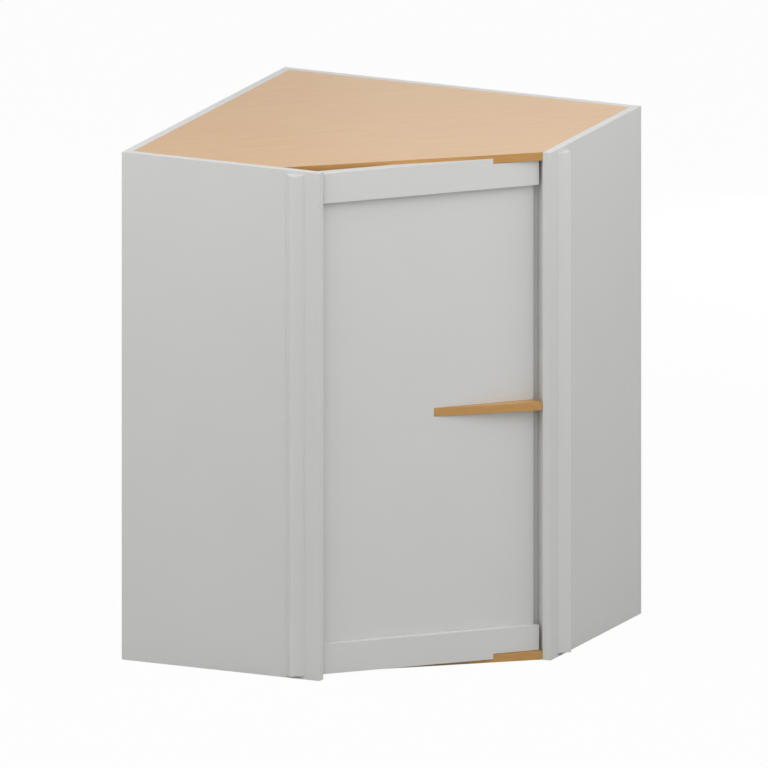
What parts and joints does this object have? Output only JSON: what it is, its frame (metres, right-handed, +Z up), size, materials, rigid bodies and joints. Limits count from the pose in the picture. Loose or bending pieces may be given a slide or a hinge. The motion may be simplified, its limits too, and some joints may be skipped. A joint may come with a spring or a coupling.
{
  "type": "corner wall cabinet",
  "caption": "Diagonal corner wall cabinet with one hinged door, an adjustable shelf and square back for a room corner.",
  "frame": {"origin": "centre of the bounding box on the underside of the cabinet", "axes": "+Z up, the door faces -Y, the room corner is towards +Y, the door's hinge is at -X"},
  "size_m": [0.9698, 0.7544, 0.9144],
  "materials": {
    "painted_ply": "sprayed satin off-white paint over plywood",
    "maple_ply": "maple veneered plywood, clear satin lacquer",
    "plated_steel": "nickel plated pressed steel",
    "zinc_fitting": "die cast zinc with a turned steel bolt",
    "moulded_plastic": "moulded off-white plastic",
    "magnet": "pressed dark ferrite",
    "bumper_felt": "pressed wool felt"
  },
  "bodies": {
    "carcass": {"bottom_deck": "maple_ply", "cam_fitting_bottom_left_front": "zinc_fitting", "cam_fitting_bottom_left_rear": "zinc_fitting", "cam_fitting_bottom_right_front": "zinc_fitting", "cam_fitting_bottom_right_rear": "zinc_fitting", "cam_fitting_top_left_front": "zinc_fitting", "cam_fitting_top_left_rear": "zinc_fitting", "cam_fitting_top_right_front": "zinc_fitting", "cam_fitting_top_right_rear": "zinc_fitting", "catch_body": "moulded_plastic", "catch_magnet": "magnet", "catch_screw_1": "plated_steel", "catch_screw_2": "plated_steel", "left_back_panel": "painted_ply", "left_frame_stile": "painted_ply", "left_scribe_stile": "painted_ply", "left_side_panel": "painted_ply", "lower_hinge_frame_leaf": "plated_steel", "lower_hinge_frame_screw_1": "plated_steel", "lower_hinge_frame_screw_2": "plated_steel", "lower_hinge_pin": "plated_steel", "lower_left_hanging_rail": "maple_ply", "lower_right_hanging_rail": "maple_ply", "right_back_panel": "painted_ply", "right_frame_stile": "painted_ply", "right_scribe_stile": "painted_ply", "right_side_panel": "painted_ply", "shelf": "maple_ply", "shelf_pin_left_back": "moulded_plastic", "shelf_pin_left_front": "moulded_plastic", "shelf_pin_left_rear": "moulded_plastic", "shelf_pin_right_back": "moulded_plastic", "shelf_pin_right_front": "moulded_plastic", "shelf_pin_right_rear": "moulded_plastic", "top_deck": "maple_ply", "upper_hinge_frame_leaf": "plated_steel", "upper_hinge_frame_screw_1": "plated_steel", "upper_hinge_frame_screw_2": "plated_steel", "upper_hinge_pin": "plated_steel", "upper_left_hanging_rail": "maple_ply", "upper_right_hanging_rail": "maple_ply"},
    "door": {"catch_strike_plate": "plated_steel", "door_bottom_rail": "painted_ply", "door_panel": "painted_ply", "door_pull": "maple_ply", "door_top_rail": "painted_ply", "lower_bumper": "bumper_felt", "lower_hinge_door_leaf": "plated_steel", "lower_hinge_door_screw_1": "plated_steel", "lower_hinge_door_screw_2": "plated_steel", "pull_screw_1": "plated_steel", "pull_screw_2": "plated_steel", "strike_screw_1": "plated_steel", "strike_screw_2": "plated_steel", "upper_bumper": "bumper_felt", "upper_hinge_door_leaf": "plated_steel", "upper_hinge_door_screw_1": "plated_steel", "upper_hinge_door_screw_2": "plated_steel"}
  },
  "joints": [
    {"name": "door_hinge", "type": "hinge", "parent": "carcass", "child": "door", "pos_m": [-0.20492, -0.36026, 0.4572], "axis": [0, 0, -1], "range_deg": [0, 110]}
  ]
}
